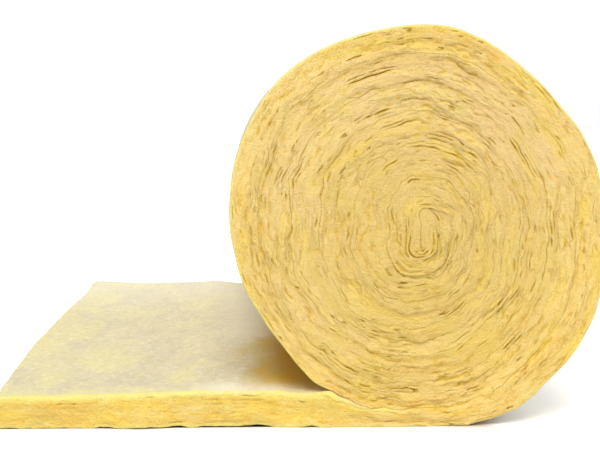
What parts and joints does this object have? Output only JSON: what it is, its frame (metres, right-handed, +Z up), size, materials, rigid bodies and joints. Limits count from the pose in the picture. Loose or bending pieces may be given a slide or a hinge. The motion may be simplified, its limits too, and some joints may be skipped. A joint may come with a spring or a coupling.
{
  "type": "insulation roll",
  "caption": "Blanket of yellow glass wool insulation wound into a roll that lies on its side, with its free end rolled out flat as a tongue",
  "frame": {"origin": "On the floor, straight under the roll's axis and halfway along the roll", "axes": "+Y along the roll's axis, away from the end that is seen in the picture; +X across the roll, away from the free tongue; +Z up"},
  "size_m": [0.9208, 1.2, 0.6141],
  "materials": {
    "glass_wool": "matte, fibrous, pale yellow glass wool"
  },
  "bodies": {
    "root": {"glass_wool_blanket": "glass_wool"}
  },
  "joints": []
}
